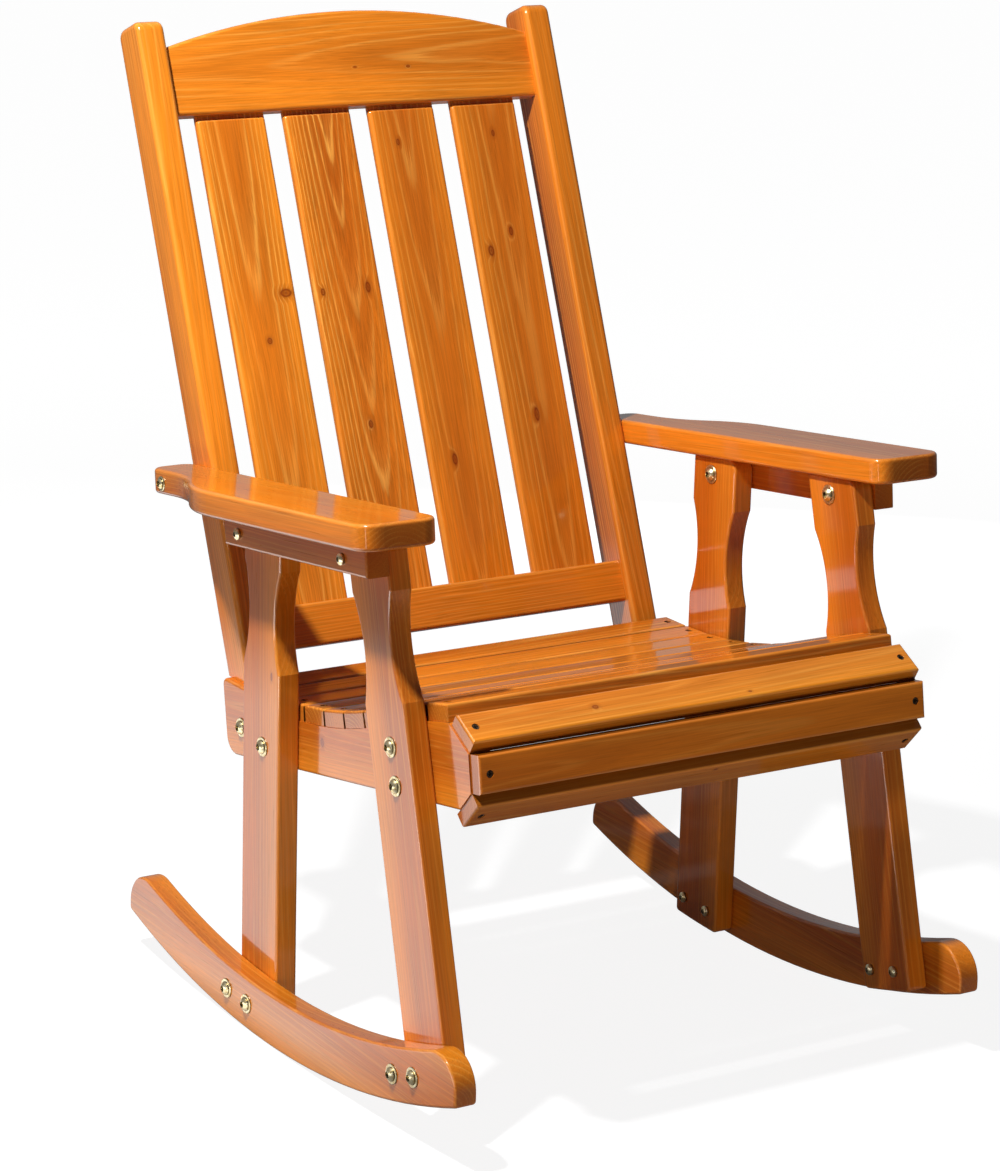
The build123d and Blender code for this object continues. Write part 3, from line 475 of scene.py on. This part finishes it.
def soft_box(name, place, aim, width, height, watts, glare=True):
    """A rectangular lamp; without glare it lifts shaded faces and isn't mirrored in the varnish."""
    bpy.ops.object.light_add(type="AREA", location=place)
    lamp = bpy.context.object
    lamp.name = name
    lamp.data.shape = "RECTANGLE"
    lamp.data.size = width
    lamp.data.size_y = height
    lamp.data.energy = watts
    lamp.rotation_euler = (Vector(aim) - Vector(place)).to_track_quat("-Z", "Y").to_euler()
    lamp.visible_glossy = glare


# Lamps, in metres
soft_box("key_box", (-1.13, -0.24, 2.3), aim=(0, 0, 0.5), width=0.1, height=0.1, watts=61)
soft_box("fill_box", (-1.4, -0.1, 0.12), aim=(0, 0, 0.08), width=1.2, height=0.24, watts=4.4)
soft_box("front_bounce", (0.1, -1.5, 0.06), aim=(0, -0.2, 0.3), width=0.6, height=0.5, watts=6.2,
         glare=False)
soft_box("edge_strip", (-2.2, -1.45, 0.7), aim=(0, 0, 0.4), width=0.07, height=1.5, watts=1.8)
soft_box("rear_box", (1.4, 1.7, 0.45), aim=(0, 0, 0.45), width=1.0, height=0.7, watts=9, glare=False)

# Camera at the height and angle of the picture
CAMERA_PLACE = (-2.0223, -3.1556, 1.4791)
CAMERA_PITCH = radians(-15.16)
CAMERA_BEARING = radians(-32.35)
CAMERA_ROLL = radians(1.54)
FILM_WIDTH = 36.0
FOCAL_LENGTH = 130.65
FILM_SHIFT = (0.0025, -0.0144)
FARTHEST_SEEN = 60.0

ahead = Vector((
    -sin(CAMERA_BEARING) * cos(CAMERA_PITCH), cos(CAMERA_BEARING) * cos(CAMERA_PITCH), sin(CAMERA_PITCH)))
level_right = Vector((cos(CAMERA_BEARING), sin(CAMERA_BEARING), 0))
level_up = level_right.cross(ahead)
right = cos(CAMERA_ROLL) * level_right + sin(CAMERA_ROLL) * level_up
up = cos(CAMERA_ROLL) * level_up - sin(CAMERA_ROLL) * level_right
camera = bpy.data.objects.new("camera", bpy.data.cameras.new("camera"))
scene.collection.objects.link(camera)
turned = Matrix((right, up, -ahead)).transposed().to_4x4()
camera.matrix_world = Matrix.Translation(CAMERA_PLACE) @ turned
camera.data.sensor_fit = "HORIZONTAL"
camera.data.sensor_width = FILM_WIDTH
camera.data.lens = FOCAL_LENGTH
camera.data.shift_x, camera.data.shift_y = FILM_SHIFT
camera.data.clip_end = FARTHEST_SEEN
scene.camera = camera
